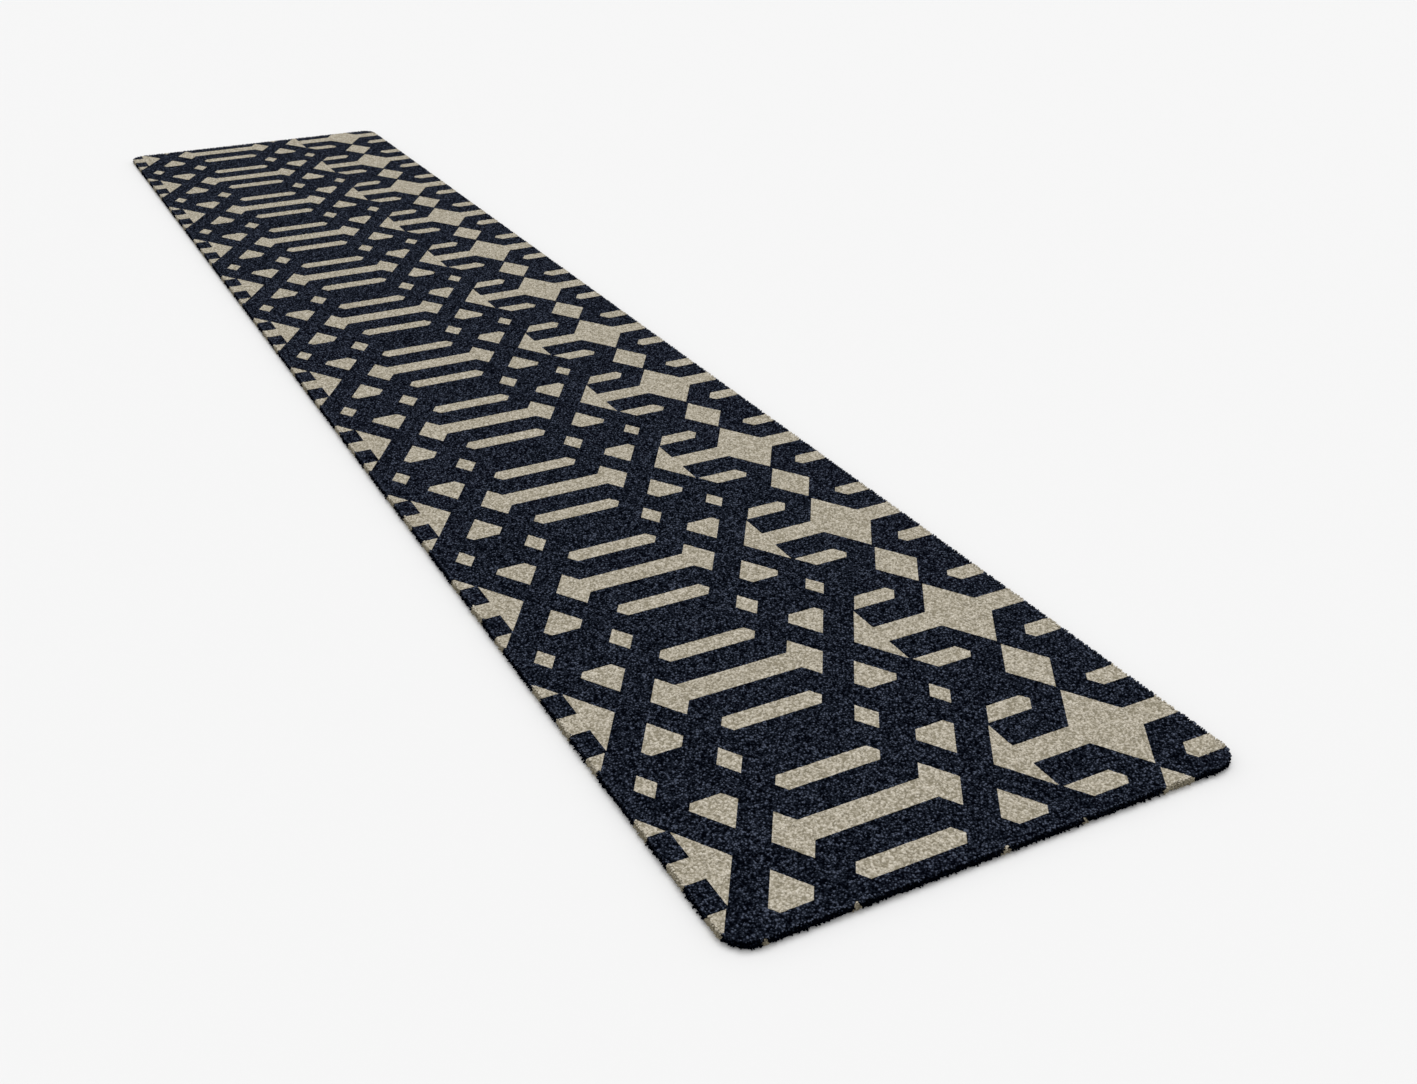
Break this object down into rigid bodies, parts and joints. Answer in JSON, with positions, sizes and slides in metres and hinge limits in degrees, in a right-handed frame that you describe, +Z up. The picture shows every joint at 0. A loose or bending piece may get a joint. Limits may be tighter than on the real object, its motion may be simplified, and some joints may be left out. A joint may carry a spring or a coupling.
{
  "type": "runner rug",
  "caption": "Long narrow rug with rounded corners, a cut pile in two yarns that make a geometric pattern, and a taped cloth underside.",
  "frame": {"origin": "middle of the underside, on the floor", "axes": "+Z up out of the pile, Y along the rug's length, X across its width"},
  "size_m": [0.78, 4, 0.012],
  "materials": {
    "navy_yarn": "matt cut pile",
    "beige_yarn": "matt cut pile",
    "cloth_weave": "plain weave",
    "latex": "matt",
    "canvas_weave": "plain weave",
    "tape_weave": "twill",
    "thread": "spun"
  },
  "bodies": {
    "root": {"ground_pile": "navy_yarn", "ground_patch_1": "navy_yarn", "ground_patch_2": "navy_yarn", "ground_patch_3": "navy_yarn", "motif_pile": "beige_yarn", "primary_cloth": "cloth_weave", "latex_coat": "latex", "canvas_backing": "canvas_weave", "hem_tape_left": "tape_weave", "hem_tape_right": "tape_weave", "hem_tape_near": "tape_weave", "hem_tape_far": "tape_weave", "seam_outer": "thread", "seam_inner": "thread"}
  },
  "joints": []
}
